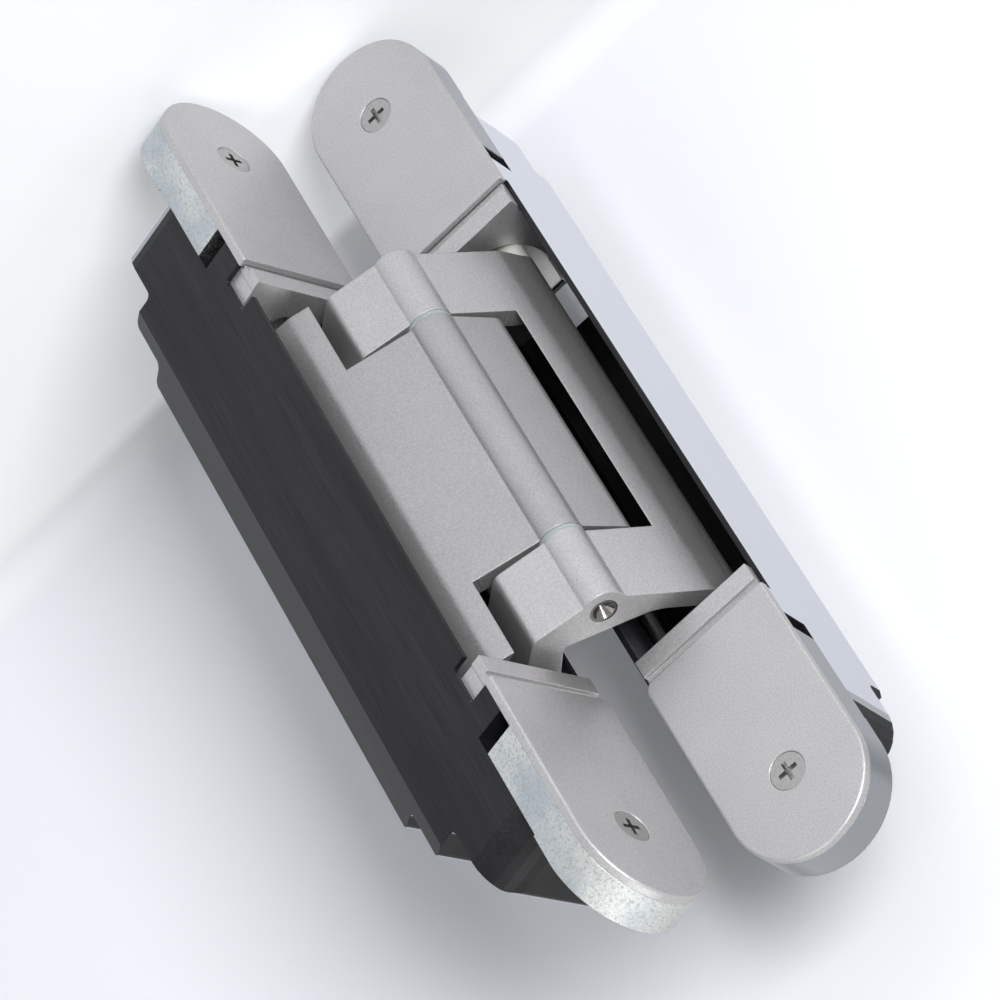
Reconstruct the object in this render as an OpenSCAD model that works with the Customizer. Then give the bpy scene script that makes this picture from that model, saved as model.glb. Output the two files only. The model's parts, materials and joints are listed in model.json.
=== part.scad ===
// Concealed door hinge: two mortised sides joined by a fork arm and a centre arm that cross on one pin.
// The frame side lies along Z with its face to -Y, its body in +Y and its outer edge at -X.
// The origin is the middle of the plane on which the frame side's end blocks seat.

/* [Opening] */
// Angle between the two sides as drawn, 0 is shut
opening = 104; // [0:1:180]

/* [Side] */
// Width of each side
side_w = 32; // [31.5:0.25:34]
// Depth of the housing behind the face
side_depth = 38; // [37:0.25:41]
// Depth at which the housing's flanks start to taper
taper_from = 29.8; // [28:0.2:31]
// Width of the housing's back
back_w = 24; // [22:0.5:26]
// Thickness of the housing's walls
wall = 1.2; // [1:0.1:1.6]
// Length of the middle step at each end
step_l = 13; // [10:0.5:15]
// Length of the last step at each end
lug_l = 17; // [14:0.5:19]
// Depth of the middle step
step_depth = 33.2; // [31.5:0.2:35]
// Depth of the last step
lug_depth = 25.4; // [22:0.2:28]

/* [End blocks and caps] */
// Thickness of the caps
cap_t = 2; // [1.5:0.1:2.5]
// Thickness of the steel end blocks
block_t = 8; // [7.5:0.1:10]
// Length of the steel end blocks
block_l = 45; // [42:0.5:52]
// Width of the strip that shows between a cap and the arms
strip_l = 6.5; // [5.5:0.1:7.5]
// Diameter of the fixing holes
fix_d = 5.4; // [4.5:0.1:6]
// Spacing of the fixing holes across the side
fix_gap = 17; // [16:0.5:18]

/* [Arms] */
// Distance between the centre pin and each pivot pin
pivot_reach = 20.4; // [20.2:0.05:20.6]
// Distance between the centre pin and each slide pin
slide_reach = 31; // [30.5:0.1:31.4]
// Half width of the centre arm's knuckle
centre_half = 32.2; // [30:0.1:33]
// Width of each of the fork arm's knuckles
fork_l = 19.1; // [17:0.1:21]
// Thickness of the arms' plates
plate_t = 4.3; // [3.8:0.1:4.6]
// Radius of the knuckles round the centre pin
boss_r = 5.2; // [5:0.05:5.3]
// Diameter of the centre pin
centre_pin_d = 6; // [5:0.1:6.4]
// Diameter of the pivot pins
pivot_pin_d = 5; // [4:0.1:5.4]
// Diameter of the slide pins
slide_pin_d = 4; // [3:0.1:4.2]
// Diameter of the slide rollers
roller_d = 6; // [5.6:0.1:6.2]

/* [Hidden] */
$fn = 64;
corner_steps = 6;
over = 1;

// Depth from the face to the plane on which the end blocks seat
seat_d = cap_t + block_t;
// Each block's back is relieved over the housing, which locates it lengthwise
relief_d = 0.4;
relief_gap = 0.1;
end_r = side_w / 2;
cavity_depth = side_depth - wall;
half_turn = 180;
quarter_turn = 90;

// Washers between the knuckles
washer_t = 1;
washer_gap = 0.1;
fork_in = centre_half + washer_t + 2 * washer_gap;

// Places along a side, from the arms' plates out to its round end
arm_half = fork_in + fork_l;
notch_in = arm_half + 1.9;
carrier_in = arm_half + 3.9;
carrier_l = 8.6;
strip_edge = 4.4;
cap_in = carrier_in + strip_l;
// Room behind the carrier before the housing's end wall
end_gap = 0.2;
end_wall = 1.8;
cavity_half = carrier_in + carrier_l + end_gap;
deep_half = cavity_half + end_wall;
step_half = deep_half + step_l;
lug_half = step_half + lug_l;
post_in = carrier_in + 7.1;
post_out = deep_half + 3.6;
block_in = post_out + 4.4;
half_l = block_in + block_l;
cap_screw_in = 18.9;
cap_screw_z = half_l - cap_screw_in;
block_screw_in = 6.2;
block_screw_z = block_in + block_screw_in;
fix_out = 6;
fix_z = lug_half + fix_out;

// The walls stop below the caps, and the leaf side's are notched beside the carriers
wall_top = 3.2;
notch_d = 7;
step_r = 1.5;
lug_r = 8;
// Window through the back, where the slide groove runs out
window_in = carrier_in - 6.6;
window_out = carrier_in + 5.6;
window_w = 8;
window_lead = 4.9;

// Pivot pin's place in a side
pivot_share = 0.2875;
pivot_u = -side_w * pivot_share;
pivot_v = -7;
pivot = [pivot_u, pivot_v];
// Direction of the link from pivot pin to centre pin when the hinge is shut
shut_swing = 28.3;
// Turn of the fork arm against the centre arm, as a share of the centre arm's turn
cross_share = 0.4;
swing_share = 1 / (2 - cross_share);
// Angle in an arm between its pivot pin and its slide pin
arm_angle = 109.3;
function unit(a) = [cos(a), sin(a)];
function swing(t) = shut_swing + swing_share * t;
function crossing(t) = pivot + pivot_reach * unit(swing(t));
function slide_turn(t) = t - swing(t) - half_turn + arm_angle;
function slide_at(t) = crossing(t) + slide_reach * unit(slide_turn(t));
centre = crossing(opening);

// Arm outline, from the centre pin with the pivot pin along +x and the slide pin on the +y side
plate_turn = 111.4;
plate_crown = 3.8;
plate_flat = 24;
leg_turn = -22.1;
leg_crown = 4.4;
elbow_outer = [11.9, -9.9, 2.5];
elbow_inner = [10.9, -2.1, 1.5];
belly_reach = 12.2;
belly_r = 12;
belly_tail = 4;
pivot_eye_r = 4;
eye_outer_turn = -64;
eye_inner_turn = 125;
slide_eye_r = 3.1;
// The other arm's leg passes through the plate as far out as this, and the far edge is undercut
window_reach = 19.2;
undercut = 4.5;
window_r = 1.5;
bend_r = 6;

// Running clearance on a radius
run = 0.03;
bush_t = 0.6;
bush_l = 14;
side_gap = 0.3;

// Carriers, which hold the pivot pin and guide the slide pin, and reach over the walls in a flange
carrier_top = 0.5;
carrier_ledge_d = 1.4;
carrier_cap_gap = 0.3;
carrier_fit = 0.05;
flange_half = side_w / 2 - 1;
flange_gap = 0.2;
pin_seat_l = 6;
groove_gap = 0.2;
groove_step = 15;

// Screws
cap_screw_d = 4;
cap_screw_head_d = 8;
cap_screw_l = 8;
cap_screw_sink = 0.15;
block_screw_d = 5;
block_screw_head_d = 9;
block_screw_head_t = 2.6;
block_screw_l = 15;
block_screw_gap = 16;
adjust_screw_d = 4;
adjust_screw_l = 12;
adjust_screw_z = (cavity_half + post_out) / 2;
adjust_screw_gap = 15;
adjust_screw_sink = 0.6;
socket_d = 2.4;
socket_depth = 2.5;
cross_w = 1;
cross_l = 4.4;
cross_depth = 1.6;
fix_sink = 2;
fix_sink_d = 10.4;
edge_r = 0.5;
cap_corner_r = 2.5;
hole_fit = 0.05;

// Outline whose corners are rounded where a third number gives a radius
function rounded(c) = [for (i = [0 : len(c) - 1])
    each corner(c[(i + len(c) - 1) % len(c)], c[i], c[(i + 1) % len(c)])];
function flat(p) = [p[0], p[1]];
function toward(a, b) = (flat(b) - flat(a)) / norm(flat(b) - flat(a));
function heading(v) = atan2(v[1], v[0]);
function wrapped(a) = a > 180 ? a - 360 : a < -180 ? a + 360 : a;
function corner(a, b, c) = len(b) < 3 || b[2] == 0 ? [flat(b)] :
    let (p = toward(b, a), q = toward(b, c), half = acos(p * q) / 2,
        mid = flat(b) + (p + q) / norm(p + q) * b[2] / sin(half),
        from = heading(flat(b) + p * b[2] / tan(half) - mid),
        turn = wrapped(heading(flat(b) + q * b[2] / tan(half) - mid) - from))
    [for (k = [0 : corner_steps]) mid + b[2] * unit(from + turn * k / corner_steps)];
function mirrored(c) = concat(c, [for (i = [len(c) - 1 : -1 : 0]) len(c[i]) < 3
    ? [-c[i][0], c[i][1]] : [-c[i][0], c[i][1], c[i][2]]]);

// Places a side: local u is the outer side, v is out of the face
module on_frame() {
    translate([0, -seat_d, 0]) rotate([0, 0, half_turn]) children();
}
module on_leaf() {
    on_frame() translate([centre[0], centre[1], 0]) rotate([0, 0, opening])
        mirror([0, 1, 0]) translate([-centre[0], -centre[1], 0]) children();
}
// Places an arm from its own outline's frame
module on_centre_arm() {
    on_frame() translate([centre[0], centre[1], 0]) rotate([0, 0, swing(opening) + half_turn])
        mirror([0, 1, 0]) children();
}
module on_fork_arm() {
    on_frame() translate([centre[0], centre[1], 0])
        rotate([0, 0, opening - swing(opening) - half_turn]) children();
}
module lower() {
    mirror([0, 0, 1]) children();
}
module both_ends() {
    children();
    lower() children();
}
// Lays a plan in (u, z) and extrudes it backwards from depth d
module plan(d, t) {
    translate([0, -d, 0]) rotate([90, 0, 0]) linear_extrude(t) children();
}

module side_section(inset, depth) {
    w = side_w / 2 - inset;
    polygon([[-w, over], [-w, -taper_from], [-(back_w / 2 - inset), -depth],
        [back_w / 2 - inset, -depth], [w, -taper_from], [w, over]]);
}

// A housing, with a notch in its walls on the listed sides, -1 for the knuckle side and 1 for the outer
module housing(notched) {
    color("dimgray") difference() {
        intersection() {
            linear_extrude(2 * lug_half, center = true) side_section(0, side_depth);
            // Stepped profile seen from the flank
            translate([side_w, 0, 0]) rotate([0, -90, 0]) linear_extrude(2 * side_w)
                polygon(rounded(mirrored([[post_in, -wall_top], [post_in, -cap_t],
                    [post_out, -cap_t], [post_out, relief_d - seat_d],
                    [lug_half, relief_d - seat_d, step_r / 2],
                    [lug_half, -lug_depth, step_r], [step_half, -lug_depth, step_r],
                    [step_half, -step_depth, step_r], [deep_half, -step_depth, step_r],
                    [deep_half, -side_depth, step_r]])));
            // Rounded plan
            plan(-over, side_depth + 2 * over)
                polygon(rounded(mirrored([[end_r, lug_half, lug_r], [end_r, -lug_half, lug_r]])));
        }
        linear_extrude(2 * cavity_half, center = true) side_section(wall, cavity_depth);
        both_ends() {
            for (s = notched) translate([(s - 1) * side_w / 2, 0, 0]) rotate([0, quarter_turn, 0])
                linear_extrude(side_w) polygon(rounded([[-notch_in, over], [-notch_in, -notch_d, step_r / 2],
                    [-post_in, -notch_d, step_r / 2], [-post_in, over]]));
            translate([slide_at(0)[0] - window_lead, -side_depth - over, window_in])
                cube([window_w, wall + 2 * over, window_out - window_in]);
            for (s = [-1, 1]) {
                screw_bore(s * block_screw_gap / 2, block_screw_z, block_screw_d, seat_d, block_screw_l - block_t);
                screw_bore(s * adjust_screw_gap / 2, adjust_screw_z, adjust_screw_d, cap_t,
                    adjust_screw_l + adjust_screw_sink);
            }
        }
    }
}

// A blind bore into the face at (u, z), from depth d for a length l
module screw_bore(u, z, bore_d, d, l) {
    translate([u, -d + over, z]) rotate([90, 0, 0]) cylinder(d = bore_d + 2 * hole_fit, h = l + over);
}

// Half outline of a block or cap, square at its inner end and round at the other
module end_plan(from) {
    intersection() {
        union() {
            translate([0, half_l - end_r]) circle(end_r);
            translate([-end_r, from]) square([side_w, half_l - end_r - from]);
        }
        translate([-end_r, from]) square([side_w, half_l - from]);
    }
}

module block() {
    color("gainsboro") difference() {
        plan(cap_t, block_t) end_plan(block_in);
        translate([-side_w, -seat_d - over, block_in - over])
            cube([2 * side_w, relief_d + over, lug_half + relief_gap - block_in + over]);
        screw_bore(0, cap_screw_z, cap_screw_d, cap_t, block_t + over);
        for (s = [-1, 1]) {
            screw_bore(s * fix_gap / 2, fix_z, fix_d, cap_t, block_t + over);
            sink(s * fix_gap / 2, fix_z, cap_t, fix_sink_d, fix_d, fix_sink);
            screw_bore(s * block_screw_gap / 2, block_screw_z, block_screw_d, cap_t, block_t + over);
            sink(s * block_screw_gap / 2, block_screw_z, cap_t, block_screw_head_d, block_screw_d,
                block_screw_head_t);
        }
    }
}

// A countersink at (u, z), from depth d, between two diameters
module sink(u, z, d, wide, narrow, t) {
    translate([u, -d, z]) rotate([90, 0, 0])
        cylinder(d1 = wide + 2 * hole_fit, d2 = narrow + 2 * hole_fit, h = t);
    translate([u, -d + over, z]) rotate([90, 0, 0]) cylinder(d = wide + 2 * hole_fit, h = over);
}

// Section of a cap's edge, rounded at the face
module cap_edge(w) {
    polygon(rounded([[0, -cap_t], [w, -cap_t], [w, 0, edge_r], [0, 0]]));
}

module cap() {
    color("silver") difference() {
        union() {
            intersection() {
                translate([0, 0, half_l - end_r]) rotate([-90, 0, 0]) rotate_extrude() cap_edge(end_r);
                translate([-side_w, -side_w, half_l - end_r]) cube(2 * side_w);
            }
            translate([0, 0, cap_in]) linear_extrude(half_l - end_r - cap_in) {
                cap_edge(end_r);
                mirror([1, 0, 0]) cap_edge(end_r);
            }
        }
        // Rounded corner next to the knuckles
        plan(-over, cap_t + 2 * over) polygon(rounded([[-side_w, cap_in + cap_corner_r],
            [-end_r, cap_in + cap_corner_r], [-end_r, cap_in, cap_corner_r], [cap_corner_r - end_r, cap_in],
            [cap_corner_r - end_r, cap_in - over], [-side_w, cap_in - over]]));
        screw_bore(0, cap_screw_z, cap_screw_d, 0, cap_t + over);
        sink(0, cap_screw_z, cap_screw_sink, cap_screw_head_d, cap_screw_d, cap_t - cap_screw_sink);
    }
}

// Countersunk screw with a cross recess, its head's top at depth d
module countersunk(u, z, d, body_d, head_d, head_t, l, slot_l) {
    color("lightgray") translate([u, -d, z]) rotate([90, 0, 0]) difference() {
        union() {
            cylinder(d = body_d, h = l);
            cylinder(d1 = head_d, d2 = body_d, h = head_t);
        }
        for (a = [0, quarter_turn]) rotate([0, 0, a])
            translate([-slot_l / 2, -cross_w / 2, -over]) cube([slot_l, cross_w, over + cross_depth]);
    }
}

module adjusting_screw(u) {
    color("lightgray") translate([u, -cap_t - adjust_screw_sink, adjust_screw_z]) rotate([90, 0, 0]) difference() {
        cylinder(d = adjust_screw_d, h = adjust_screw_l);
        translate([0, 0, -over]) cylinder(d = socket_d, h = over + socket_depth, $fn = 6);
    }
}

module cap_screw() {
    countersunk(0, cap_screw_z, cap_screw_sink, cap_screw_d, cap_screw_head_d, cap_t - cap_screw_sink,
        cap_screw_l, cross_l);
}
module block_screws() {
    both_ends() for (s = [-1, 1])
        countersunk(s * block_screw_gap / 2, block_screw_z, cap_t, block_screw_d, block_screw_head_d,
            block_screw_head_t, block_screw_l, cross_l);
}
module adjusting_screws() {
    both_ends() for (s = [-1, 1]) adjusting_screw(s * adjust_screw_gap / 2);
}

// Outline of the curved groove that guides the slide pin's roller
groove_r = roller_d / 2 + groove_gap;
groove_path = [for (t = [0 : groove_step : half_turn]) slide_at(t)];
function path_way(i) = toward(groove_path[max(i - 1, 0)], groove_path[min(i + 1, len(groove_path) - 1)]);
function clear_of_path(p) = min([for (q = groove_path) norm(p - q)]) > groove_r * 0.99;
function path_edge(turn) = [for (i = [0 : len(groove_path) - 1])
    let (p = groove_path[i] + groove_r * unit(heading(path_way(i)) + turn)) if (clear_of_path(p)) p];
function reversed(c) = [for (i = [len(c) - 1 : -1 : 0]) c[i]];
// The groove is round at its outer end and runs out through the back
module groove() {
    last = len(groove_path) - 1;
    mouth = groove_path[0][0];
    inner = heading(path_way(0)) + quarter_turn;
    polygon(concat([[mouth + groove_r, -side_depth]], path_edge(-quarter_turn),
        [for (k = [1 : corner_steps - 1]) groove_path[last]
            + groove_r * unit(heading(path_way(last)) - quarter_turn + half_turn * k / corner_steps)],
        reversed(path_edge(quarter_turn)),
        [for (k = [1 : corner_steps]) groove_path[0]
            + groove_r * unit(inner + (half_turn - inner) * k / corner_steps)],
        [[mouth - groove_r, -side_depth]]));
}

module carrier() {
    color("darkgray") difference() {
        intersection() {
            union() {
                translate([0, 0, carrier_in]) linear_extrude(carrier_l)
                    side_section(wall + carrier_fit, cavity_depth - carrier_fit);
                translate([-flange_half, carrier_fit - wall_top, carrier_in])
                    cube([2 * flange_half, wall_top, post_in - flange_gap - carrier_in]);
            }
            translate([side_w, 0, 0]) rotate([0, -quarter_turn, 0]) linear_extrude(2 * side_w)
                polygon([[carrier_in, -carrier_top], [carrier_in + strip_edge, -carrier_top],
                    [carrier_in + strip_edge, -carrier_ledge_d], [cap_in - carrier_cap_gap, -carrier_ledge_d],
                    [cap_in - carrier_cap_gap, -cap_t - carrier_cap_gap], [cavity_half, -cap_t - carrier_cap_gap],
                    [cavity_half, -side_depth], [carrier_in, -side_depth]]);
        }
        translate([pivot_u, pivot_v, carrier_in - over])
            cylinder(d = pivot_pin_d + 2 * hole_fit, h = pin_seat_l + over);
        translate([0, 0, carrier_in - over]) linear_extrude(pin_seat_l + over) groove();
    }
}

module pivot_pin() {
    color("lightgray") translate([pivot_u, pivot_v, 0])
        cylinder(d = pivot_pin_d, h = 2 * (carrier_in + pin_seat_l), center = true);
}

plate_way = unit(plate_turn);
plate_out = unit(plate_turn + quarter_turn);
leg_out = unit(leg_turn - quarter_turn);
pivot_spot = [pivot_reach, 0];
slide_spot = slide_reach * unit(arm_angle);
function on_plate(reach, rise) = reach * plate_way + rise * plate_out;
function with_r(p, r) = [p[0], p[1], r];

// An arm over its whole width: knuckle, leg to the pivot pin, plate to the slide pin
module arm_blank() {
    across() cylinder(r = boss_r, h = 2 * arm_half);
    across() translate(pivot_spot) cylinder(r = pivot_eye_r, h = 2 * arm_half);
    across() translate(slide_spot) cylinder(r = slide_eye_r, h = 2 * arm_half);
    across() linear_extrude(2 * arm_half) polygon(rounded([leg_crown * leg_out, elbow_outer,
        pivot_spot + pivot_eye_r * unit(eye_outer_turn), pivot_spot,
        pivot_spot + pivot_eye_r * unit(eye_inner_turn), elbow_inner,
        with_r(on_plate(belly_reach, plate_crown - plate_t), belly_r),
        on_plate(belly_reach + belly_tail, plate_crown - plate_t), [0, 0]]));
    across() linear_extrude(2 * arm_half) polygon(rounded([on_plate(0, plate_crown - plate_t),
        on_plate(0, plate_crown), with_r(on_plate(plate_flat, plate_crown), bend_r),
        slide_spot + slide_eye_r * plate_out, slide_spot,
        on_plate(slide_reach - slide_eye_r, plate_crown - plate_t)]));
}
module across() {
    translate([0, 0, -arm_half]) children();
}

// Cuts an arm away from z = from to z = to, out to where its plate runs over the whole width
module arm_gap(from, to) {
    rotate([0, 0, plate_turn]) {
        rotate([quarter_turn, 0, 0]) linear_extrude(4 * side_w, center = true)
            polygon(rounded([[-half_l, from], [window_reach, from, window_r], [window_reach, to, window_r],
                [-half_l, to]]));
        translate([0, 0, from]) linear_extrude(to - from)
            polygon([[window_reach - over, plate_crown], [window_reach, plate_crown],
                [window_reach + undercut, plate_crown - plate_t],
                [window_reach + undercut, plate_crown - plate_t - over], [window_reach - over, -side_w]]);
    }
}
module arm_bores(pivot_bore_r) {
    translate([0, 0, -half_l]) {
        translate([pivot_reach, 0, 0]) cylinder(r = pivot_bore_r, h = 2 * half_l);
        translate([slide_spot[0], slide_spot[1], 0]) cylinder(d = slide_pin_d, h = 2 * half_l);
    }
}

bush_bore_r = pivot_pin_d / 2 + bush_t + run;
centre_bush_r = centre_pin_d / 2 + bush_t + run;
module centre_arm() {
    color("gray") difference() {
        arm_blank();
        both_ends() arm_gap(centre_half, arm_half + over);
        arm_bores(bush_bore_r);
        cylinder(r = centre_bush_r, h = 2 * half_l, center = true);
    }
}
module fork_arm() {
    color("gray") difference() {
        arm_blank();
        arm_gap(-fork_in, fork_in);
        arm_bores(bush_bore_r);
        cylinder(d = centre_pin_d, h = 2 * half_l, center = true);
    }
}
// Sleeves round a pin of diameter d, from z = from to z = to at both ends
module sleeves(d, outer_r, from, to) {
    both_ends() translate([0, 0, from]) difference() {
        cylinder(r = outer_r, h = to - from);
        translate([0, 0, -over]) cylinder(r = d / 2 + run, h = to - from + 2 * over);
    }
}
module centre_pivot_bushes() {
    color("khaki") translate([pivot_reach, 0, 0])
        sleeves(pivot_pin_d, bush_bore_r, centre_half - bush_l, centre_half);
}
module fork_pivot_bushes() {
    color("khaki") translate([pivot_reach, 0, 0]) sleeves(pivot_pin_d, bush_bore_r, fork_in, arm_half);
}
module slide_pin() {
    color("lightgray") translate([slide_spot[0], slide_spot[1], 0])
        cylinder(d = slide_pin_d, h = 2 * (carrier_in + pin_seat_l - side_gap), center = true);
}
module slide_rollers() {
    color("ivory") translate([slide_spot[0], slide_spot[1], 0])
        sleeves(slide_pin_d, roller_d / 2, arm_half + side_gap, carrier_in + pin_seat_l - side_gap);
}
module centre_pin() {
    color("lightgray") difference() {
        cylinder(d = centre_pin_d, h = 2 * arm_half, center = true);
        both_ends() translate([0, 0, arm_half - centre_pin_d / 2])
            cylinder(d1 = 0, d2 = centre_pin_d * 0.8, h = centre_pin_d / 2 + over / 100);
    }
}
module centre_bushes() {
    color("khaki") sleeves(centre_pin_d, centre_bush_r, centre_half - bush_l, centre_half);
}
module centre_washers() {
    color("lightblue") sleeves(centre_pin_d, boss_r - washer_gap, centre_half + washer_gap, fork_in - washer_gap);
}

on_frame() housing([]);  // frame_housing
on_frame() block();  // frame_upper_block
on_frame() lower() block();  // frame_lower_block
on_frame() cap();  // frame_upper_cap
on_frame() lower() cap();  // frame_lower_cap
on_frame() cap_screw();  // frame_upper_cap_screw
on_frame() lower() cap_screw();  // frame_lower_cap_screw
on_frame() carrier();  // frame_upper_carrier
on_frame() lower() carrier();  // frame_lower_carrier
on_frame() pivot_pin();  // frame_pivot_pin
on_frame() block_screws();  // frame_block_screws
on_frame() adjusting_screws();  // frame_adjusting_screws
on_leaf() housing([-1, 1]);  // leaf_housing
on_leaf() block();  // leaf_upper_block
on_leaf() lower() block();  // leaf_lower_block
on_leaf() cap();  // leaf_upper_cap
on_leaf() lower() cap();  // leaf_lower_cap
on_leaf() cap_screw();  // leaf_upper_cap_screw
on_leaf() lower() cap_screw();  // leaf_lower_cap_screw
on_leaf() carrier();  // leaf_upper_carrier
on_leaf() lower() carrier();  // leaf_lower_carrier
on_leaf() pivot_pin();  // leaf_pivot_pin
on_leaf() block_screws();  // leaf_block_screws
on_leaf() adjusting_screws();  // leaf_adjusting_screws
on_centre_arm() centre_arm();
on_centre_arm() centre_pivot_bushes();
on_centre_arm() slide_pin();  // centre_slide_pin
on_centre_arm() slide_rollers();  // centre_slide_rollers
on_fork_arm() fork_arm();
on_fork_arm() fork_pivot_bushes();
on_fork_arm() slide_pin();  // fork_slide_pin
on_fork_arm() slide_rollers();  // fork_slide_rollers
on_fork_arm() centre_pin();
on_centre_arm() centre_bushes();
on_fork_arm() centre_washers();
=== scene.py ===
"""Looks of the concealed door hinge: a material for every node, floor, light and camera."""

import json
import math

import bpy
from mathutils import Matrix, Vector

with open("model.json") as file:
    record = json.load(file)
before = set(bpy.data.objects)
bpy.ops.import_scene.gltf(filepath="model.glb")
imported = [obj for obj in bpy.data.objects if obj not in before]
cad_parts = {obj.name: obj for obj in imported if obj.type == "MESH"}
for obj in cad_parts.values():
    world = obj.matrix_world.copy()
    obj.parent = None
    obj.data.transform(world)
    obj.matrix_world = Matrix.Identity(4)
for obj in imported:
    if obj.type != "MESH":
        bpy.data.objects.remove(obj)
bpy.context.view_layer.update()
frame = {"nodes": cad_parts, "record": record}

MM = 0.001
WHITE = (1, 1, 1, 1)

# Camera from the photograph, in the row frame
IMAGE_PX = 1000
SENSOR_MM = 36.0
FOCAL_PX = 5515.1
CAMERA_AT = Vector((-252.75, -845.27, 707.17)) * MM
CAMERA_RIGHT = Vector((-0.71054, 0.57517, 0.40534))
CAMERA_DOWN = Vector((0.66033, 0.34604, 0.66650))
CLIP_NEAR = 0.01
CLIP_FAR = 20

# Floor, and the paper that curves up from it behind the hinge, in metres
FLOOR_Z = -0.1215
FLOOR_SIZE = 6.0
FLOOR_COLOUR = (0.90, 0.915, 0.955, 1)
FLOOR_ROUGH = 0.8
# Emission where it is seen: a number, plus a share of each part of the normal
FLOOR_LIFT = 0.53
FLOOR_LIFT_NORMAL = (0, 0.53, -0.36)
SWEEP_START = 0.0285
SWEEP_RADIUS = 0.010
SWEEP_STEPS = 24
SWEEP_HEIGHT = 3.0

# Light: place in metres, side in metres and power in watts of each lamp
LAMPS = {
    "key": (Vector((-0.74, -1.0, 0.70)), 0.6, 18.0),
    "overhead": (Vector((0.46, 0.05, 0.89)), 0.6, 1.6),
}
LAMP_TARGET = Vector((0.015, -0.015, 0))
WORLD_LIGHT = 0.31
BACKDROP = (0.975, 0.98, 0.99, 1)

# Colours, and where the black coat starts and ends its turn to a glossy metal with a painted pale
# sheen, 1 being edge on
BLACK = (0.003, 0.003, 0.0036, 1)
BLACK_STREAK = (0.019, 0.019, 0.022, 1)
# Pale grey that the black coat's colour turns to edge on: a painted sheen
GRAZING_PAINTED_SHEEN = (0.70, 0.72, 0.785, 1)
GRAZING_FROM = 0.64
GRAZING_FULL = 0.76
NICKEL = (0.44, 0.432, 0.437, 1)
NICKEL_GRAIN = (0.57, 0.562, 0.567, 1)
# Share of the nickel colour on the centre arm, a darker copy: painted shade
ARM_PAINTED_SHADE = 0.82
ZINC = (0.66, 0.67, 0.655, 1)
ZINC_BLUE = (0.48, 0.525, 0.555, 1)
ZINC_DARK = (0.39, 0.42, 0.43, 1)
# Darker zinc for the frame side's blocks: painted shade
ZINC_SMOOTH_SHADED = (0.33, 0.345, 0.37, 1)
STEEL = (0.20, 0.195, 0.185, 1)
SCREW = (0.46, 0.45, 0.44, 1)
WASHER = (0.38, 0.43, 0.42, 1)
ROLLER = (0.62, 0.62, 0.58, 1)
BUSH = (0.42, 0.36, 0.22, 1)

# Noise scales, in cells per metre along each axis
BRUSH_LINES = (7000, 7000, 60)
BRUSH_CLOUDS = (160, 160, 14)
NICKEL_GRAINS = (2600, 2600, 2600)
NICKEL_CLOUDS = (70, 70, 70)
ZINC_CRYSTALS = (3200, 3200, 3200)
ZINC_CLOUDS = (90, 90, 60)
ZINC_FLECKS = (1500, 1500, 1500)
SMOOTH_GRAINS = (4200, 4200, 4200)
METAL_GRAINS = (2500, 2500, 2500)
PLASTIC_GRAINS = (900, 900, 900)

# Radius that softens the edges and height of the bump of each finish, in metres
BLACK_RELIEF = (0.00035, 0.000008)
NICKEL_RELIEF = (0.00035, 0.000035)
ZINC_RELIEF = (0.0003, 0.00022)
SMOOTH_RELIEF = (0.0004, 0.00001)
PLAIN_RELIEF = (0.0002, 0.00001)
EDGE_SAMPLES = 6
GLOW_DEPTH = 0.002

# Between these lie the values that a noise has on most of the surface
NOISE_LOW = 0.3
NOISE_HIGH = 0.7


def dimmed(colour, share):
    return tuple(share * c for c in colour[:3]) + (1,)


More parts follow.
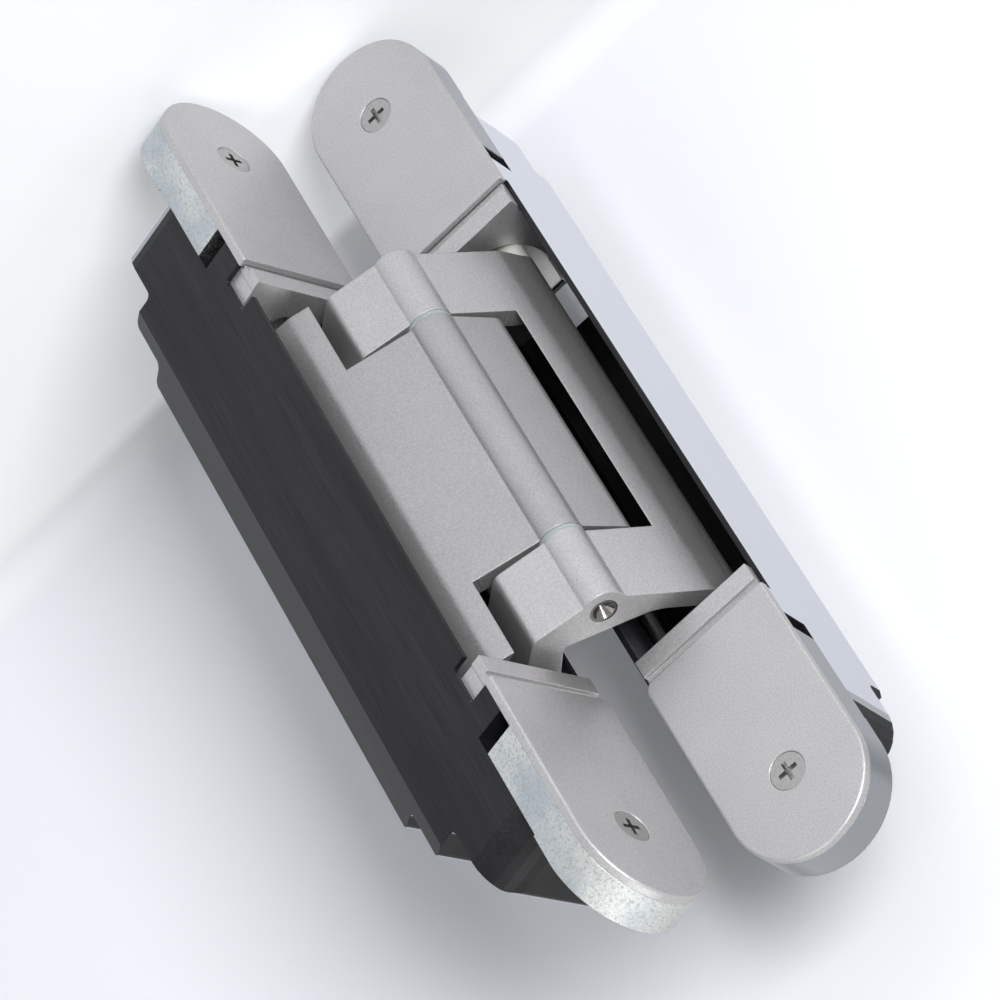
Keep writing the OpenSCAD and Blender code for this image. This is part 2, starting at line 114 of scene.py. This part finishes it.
class Nodes:
    """A material's node tree, with short calls for the nodes used here."""

    def __init__(self, name):
        self.material = bpy.data.materials.new(name)
        self.material.use_nodes = True
        self.tree = self.material.node_tree
        self.shader = self.tree.nodes["Principled BSDF"]

    def new(self, kind, **settings):
        node = self.tree.nodes.new(kind)
        for key, value in settings.items():
            setattr(node, key, value)
        return node

    def link(self, a, out, b, into):
        self.tree.links.new(a.outputs[out], b.inputs[into])

    def set(self, **values):
        for key, value in values.items():
            self.shader.inputs[key.replace("_", " ")].default_value = value

    def coordinates(self, scale):
        """Object coordinates, in metres, times a scale for each axis."""
        place = self.new("ShaderNodeTexCoord")
        mapping = self.new("ShaderNodeMapping")
        mapping.inputs["Scale"].default_value = scale
        self.link(place, "Object", mapping, "Vector")
        return mapping

    def noise(self, scale, detail=3.0, rough=0.5):
        noise = self.new("ShaderNodeTexNoise")
        noise.inputs["Scale"].default_value = 1.0
        noise.inputs["Detail"].default_value = detail
        noise.inputs["Roughness"].default_value = rough
        self.link(self.coordinates(scale), "Vector", noise, "Vector")
        return noise

    def cells(self, scale):
        cells = self.new("ShaderNodeTexVoronoi")
        cells.inputs["Scale"].default_value = 1.0
        self.link(self.coordinates(scale), "Vector", cells, "Vector")
        return cells

    def sum(self, fine, broad, share):
        """The fine noise with a share of the broad one added."""
        node = self.new("ShaderNodeMath", operation="MULTIPLY_ADD")
        self.link(broad, "Fac", node, 0)
        node.inputs[1].default_value = share
        self.link(fine, "Fac", node, 2)
        return node

    def ramp(self, source, out, first, last):
        """Colours between two stops, each a value of the source and its colour."""
        ramp = self.new("ShaderNodeValToRGB")
        for element, (at, colour) in zip(ramp.color_ramp.elements, (first, last)):
            element.position = at
            element.color = colour
        self.link(source, out, ramp, "Fac")
        return ramp

    def range(self, source, out, low, high, to_low=0.0, to_high=1.0):
        node = self.new("ShaderNodeMapRange")
        node.inputs["From Min"].default_value = low
        node.inputs["From Max"].default_value = high
        node.inputs["To Min"].default_value = to_low
        node.inputs["To Max"].default_value = to_high
        self.link(source, out, node, "Value")
        return node

    def tint(self, share, ramp, colour):
        """The ramp's colour, and another one by a share from nought to one."""
        node = self.new("ShaderNodeMix", data_type="RGBA")
        self.link(share, "Result", node, "Factor")
        self.link(ramp, "Color", node, "A")
        node.inputs["B"].default_value = colour
        return node

    def roughness(self, source, smooth, rough, out="Fac", low=NOISE_LOW, high=NOISE_HIGH):
        """Roughness from smooth to rough between a low and a high value of the source."""
        self.link(self.range(source, out, low, high, smooth, rough), "Result",
                  self.shader, "Roughness")

    def relief(self, source, edge, height):
        """Softens edges by a radius, and adds bump of a height, both in metres."""
        bevel = self.new("ShaderNodeBevel", samples=EDGE_SAMPLES)
        bevel.inputs["Radius"].default_value = edge
        bump = self.new("ShaderNodeBump")
        bump.inputs["Distance"].default_value = height
        self.link(bevel, "Normal", bump, "Normal")
        self.link(source, "Fac", bump, "Height")
        self.link(bump, "Normal", self.shader, "Normal")


def black_housing():
    """Black coat with fine brush lines along the hinge, very glossy at a grazing angle, where its
    colour also pales to a painted light-grey sheen.
    """
    m = Nodes("black_housing")
    lines = m.noise(BRUSH_LINES, detail=3.0, rough=0.55)
    streaks = m.sum(lines, m.noise(BRUSH_CLOUDS, detail=3.0), share=0.6)
    colour = m.ramp(streaks, "Value", (0.66, BLACK), (1.0, BLACK_STREAK))
    facing = m.new("ShaderNodeLayerWeight")
    facing.inputs["Blend"].default_value = 0.5
    gloss_and_painted_sheen = m.range(facing, "Facing", GRAZING_FROM, GRAZING_FULL)
    # Edge on, the base colour turns from black to pale grey, a painted sheen; the rise in metallic
    # makes it glossy.
    m.link(m.tint(gloss_and_painted_sheen, colour, GRAZING_PAINTED_SHEEN), "Result", m.shader, "Base Color")
    m.link(gloss_and_painted_sheen, "Result", m.shader, "Metallic")
    m.set(IOR=1.33)
    m.roughness(lines, smooth=0.30, rough=0.44)
    m.relief(lines, *BLACK_RELIEF)
    return m.material


def satin_nickel(name="satin_nickel", shade=1.0):
    """Fine matt nickel-grey coat. A shade below one gives a darker copy of it, which is painted
    shade.
    """
    m = Nodes(name)
    grain = m.noise(NICKEL_GRAINS, detail=3.0, rough=0.6)
    mottle = m.sum(grain, m.noise(NICKEL_CLOUDS, detail=2.0), share=0.15)
    colour = m.ramp(mottle, "Value", (0.42, dimmed(NICKEL, shade)),
                    (0.73, dimmed(NICKEL_GRAIN, shade)))
    m.link(colour, "Color", m.shader, "Base Color")
    m.set(Metallic=0.8)
    m.roughness(grain, smooth=0.36, rough=0.48)
    m.relief(grain, *NICKEL_RELIEF)
    return m.material


def zinc_plate():
    """Bright zinc plating with a fine sparkle and a faint blue and yellow tint."""
    m = Nodes("zinc_plate")
    hue = m.ramp(m.noise(ZINC_CLOUDS, detail=2.0), "Fac", (0.38, ZINC_BLUE), (0.58, ZINC))
    fleck = m.noise(ZINC_FLECKS, detail=4.0, rough=0.7)
    amount = m.range(fleck, "Fac", 0.32, 0.52, to_low=1.0, to_high=0.0)
    m.link(m.tint(amount, hue, ZINC_DARK), "Result", m.shader, "Base Color")
    m.set(Metallic=1.0)
    m.roughness(m.cells(ZINC_CRYSTALS), smooth=0.18, rough=0.40, out="Distance", low=0.0, high=0.9)
    m.relief(fleck, *ZINC_RELIEF)
    return m.material


def shaded_zinc_smooth():
    """The same plating, smooth and darker, on the frame side's blocks: the darker colour is
    painted shade.
    """
    m = Nodes("shaded_zinc_smooth")
    grain = m.noise(SMOOTH_GRAINS, detail=2.0)
    colour = m.ramp(grain, "Fac", (0.35, dimmed(ZINC_SMOOTH_SHADED, 0.9)), (0.65, ZINC_SMOOTH_SHADED))
    m.link(colour, "Color", m.shader, "Base Color")
    m.set(Metallic=1.0)
    m.roughness(grain, smooth=0.24, rough=0.34)
    m.relief(grain, *SMOOTH_RELIEF)
    return m.material


def plain_metal(name, colour, rough):
    """Turned or plated steel with a faint grain."""
    m = Nodes(name)
    grain = m.noise(METAL_GRAINS, detail=2.0)
    shade = m.ramp(grain, "Fac", (NOISE_LOW, dimmed(colour, 0.8)), (NOISE_HIGH, colour))
    m.link(shade, "Color", m.shader, "Base Color")
    m.set(Metallic=1.0)
    m.roughness(grain, smooth=0.8 * rough, rough=1.2 * rough)
    m.relief(grain, *PLAIN_RELIEF)
    return m.material


def plain_plastic(name, colour, rough, glow=0.0):
    """Bearing plastic, with a share of its light carried a little way through it."""
    m = Nodes(name)
    grain = m.noise(PLASTIC_GRAINS, detail=2.0)
    shade = m.ramp(grain, "Fac", (NOISE_LOW, dimmed(colour, 0.85)), (NOISE_HIGH, colour))
    m.link(shade, "Color", m.shader, "Base Color")
    m.set(Roughness=rough, Subsurface_Weight=glow, Subsurface_Scale=GLOW_DEPTH)
    m.relief(grain, *PLAIN_RELIEF)
    return m.material


def seen_rays(nodes, links):
    """One for camera, glossy and transmission rays, and nothing for the rest."""
    path = nodes.new("ShaderNodeLightPath")
    total = path.outputs["Is Camera Ray"]
    for kind in ("Is Glossy Ray", "Is Transmission Ray"):
        either = nodes.new("ShaderNodeMath")
        either.operation = "MAXIMUM"
        links.new(total, either.inputs[0])
        links.new(path.outputs[kind], either.inputs[1])
        total = either.outputs[0]
    return total


def mix_shaders(tree, share, first, second, out):
    """The first shader where the share is nought and the second where it is one."""
    mix = tree.nodes.new("ShaderNodeMixShader")
    tree.links.new(share, mix.inputs[0])
    tree.links.new(first.outputs[0], mix.inputs[1])
    tree.links.new(second.outputs[0], mix.inputs[2])
    tree.links.new(mix.outputs[0], out.inputs["Surface"])


def floor_material():
    """Pale floor that keeps the shadows, lifted towards white where it is seen."""
    m = Nodes("floor")
    m.set(Base_Color=FLOOR_COLOUR, Roughness=FLOOR_ROUGH, Specular_IOR_Level=0.0,
          Emission_Color=WHITE)
    place = m.new("ShaderNodeNewGeometry")
    level = m.new("ShaderNodeVectorMath", operation="DOT_PRODUCT")
    m.link(place, "Normal", level, 0)
    level.inputs[1].default_value = FLOOR_LIFT_NORMAL
    whole = m.new("ShaderNodeMath", operation="ADD", use_clamp=True)
    m.link(level, "Value", whole, 0)
    whole.inputs[1].default_value = FLOOR_LIFT
    lift = m.new("ShaderNodeMath", operation="MULTIPLY")
    m.link(whole, "Value", lift, 0)
    m.tree.links.new(seen_rays(m.tree.nodes, m.tree.links), lift.inputs[1])
    m.link(lift, "Value", m.shader, "Emission Strength")
    return m.material


def sweep_material():
    """The floor's material on the front of the paper, and nothing on its back."""
    material = floor_material()
    tree = material.node_tree
    side = tree.nodes.new("ShaderNodeNewGeometry")
    clear = tree.nodes.new("ShaderNodeBsdfTransparent")
    mix_shaders(tree, side.outputs["Backfacing"], tree.nodes["Principled BSDF"], clear,
                tree.nodes["Material Output"])
    return material


def dress_nodes():
    """Gives each CAD node the material of its record slot; the frame side's blocks and the centre
    arm get darker copies instead, as painted shade.
    """
    finishes = {
        "black_housing": black_housing(),
        "satin_nickel": satin_nickel(),
        "zinc_plate": zinc_plate(),
        "screw_steel": plain_metal("screw_steel", SCREW, rough=0.34),
        "bright_steel": plain_metal("bright_steel", STEEL, rough=0.16),
        "washer_plastic": plain_plastic("washer_plastic", WASHER, rough=0.3, glow=0.4),
        "roller_plastic": plain_plastic("roller_plastic", ROLLER, rough=0.45),
        "bush_plastic": plain_plastic("bush_plastic", BUSH, rough=0.5),
    }
    smooth = shaded_zinc_smooth()
    special = {
        # The frame side's blocks get a darker copy of the zinc plating: painted shade.
        "frame_upper_block": smooth,
        "frame_lower_block": smooth,
        # The centre arm gets a darker copy of the nickel: painted shade.
        "centre_arm": satin_nickel("arm_nickel_painted_shade", ARM_PAINTED_SHADE),
    }
    for part in frame["record"]["subparts"]:
        finish = special.get(part["node"], finishes[part["material_slot"]])
        for slot in frame["nodes"][part["node"]].material_slots:
            slot.material = finish


def add_camera():
    camera = bpy.data.objects.new("camera", bpy.data.cameras.new("camera"))
    bpy.context.scene.collection.objects.link(camera)
    back = CAMERA_RIGHT.cross(-CAMERA_DOWN).normalized()
    axes = Matrix((CAMERA_RIGHT.normalized(), -CAMERA_DOWN.normalized(), back)).transposed()
    camera.matrix_world = Matrix.Translation(CAMERA_AT) @ axes.to_4x4()
    camera.data.sensor_width = SENSOR_MM
    camera.data.sensor_fit = "HORIZONTAL"
    camera.data.lens = FOCAL_PX * SENSOR_MM / IMAGE_PX
    camera.data.clip_start = CLIP_NEAR
    camera.data.clip_end = CLIP_FAR
    bpy.context.scene.camera = camera


def add_lamp(name, at, side, power):
    """A square area lamp that faces the hinge."""
    data = bpy.data.lights.new(name, "AREA")
    data.size = side
    data.energy = power
    lamp = bpy.data.objects.new(name, data)
    bpy.context.scene.collection.objects.link(lamp)
    lamp.location = at
    lamp.rotation_euler = (LAMP_TARGET - at).to_track_quat("-Z", "Y").to_euler()


def add_world():
    """Soft surroundings, which camera, mirror and glass rays see as the backdrop."""
    world = bpy.data.worlds.new("studio")
    bpy.context.scene.world = world
    world.use_nodes = True
    tree = world.node_tree
    tree.nodes.clear()
    light = tree.nodes.new("ShaderNodeBackground")
    light.inputs["Color"].default_value = WHITE
    light.inputs["Strength"].default_value = WORLD_LIGHT
    seen = tree.nodes.new("ShaderNodeBackground")
    seen.inputs["Color"].default_value = BACKDROP
    seen.inputs["Strength"].default_value = 1.0
    mix_shaders(tree, seen_rays(tree.nodes, tree.links), light, seen,
                tree.nodes.new("ShaderNodeOutputWorld"))


def add_floor():
    bpy.ops.mesh.primitive_plane_add(size=FLOOR_SIZE, location=(0, 0, FLOOR_Z))
    floor = bpy.context.object
    floor.name = "floor"
    floor.data.materials.append(floor_material())


def add_sweep():
    """White paper that curves up behind the hinge. It takes shadows and throws none."""
    profile = []
    for i in range(SWEEP_STEPS + 1):
        turn = math.radians(90) * i / SWEEP_STEPS
        profile.append((SWEEP_START + SWEEP_RADIUS * math.sin(turn),
                        FLOOR_Z + SWEEP_RADIUS * (1 - math.cos(turn))))
    profile.append((SWEEP_START + SWEEP_RADIUS, SWEEP_HEIGHT))
    half = FLOOR_SIZE / 2
    corners = [(x, y, z) for y, z in profile for x in (-half, half)]
    faces = [(2 * i, 2 * i + 1, 2 * i + 3, 2 * i + 2) for i in range(len(profile) - 1)]
    mesh = bpy.data.meshes.new("sweep")
    mesh.from_pydata(corners, [], faces)
    mesh.shade_smooth()
    mesh.materials.append(sweep_material())
    sweep = bpy.data.objects.new("sweep", mesh)
    bpy.context.scene.collection.objects.link(sweep)
    sweep.visible_diffuse = False
    sweep.visible_glossy = False
    sweep.visible_shadow = False


add_camera()
add_world()
for lamp_name, lamp_settings in LAMPS.items():
    add_lamp(lamp_name, *lamp_settings)
add_floor()
add_sweep()
dress_nodes()

bpy.context.scene.view_settings.view_transform = "Standard"
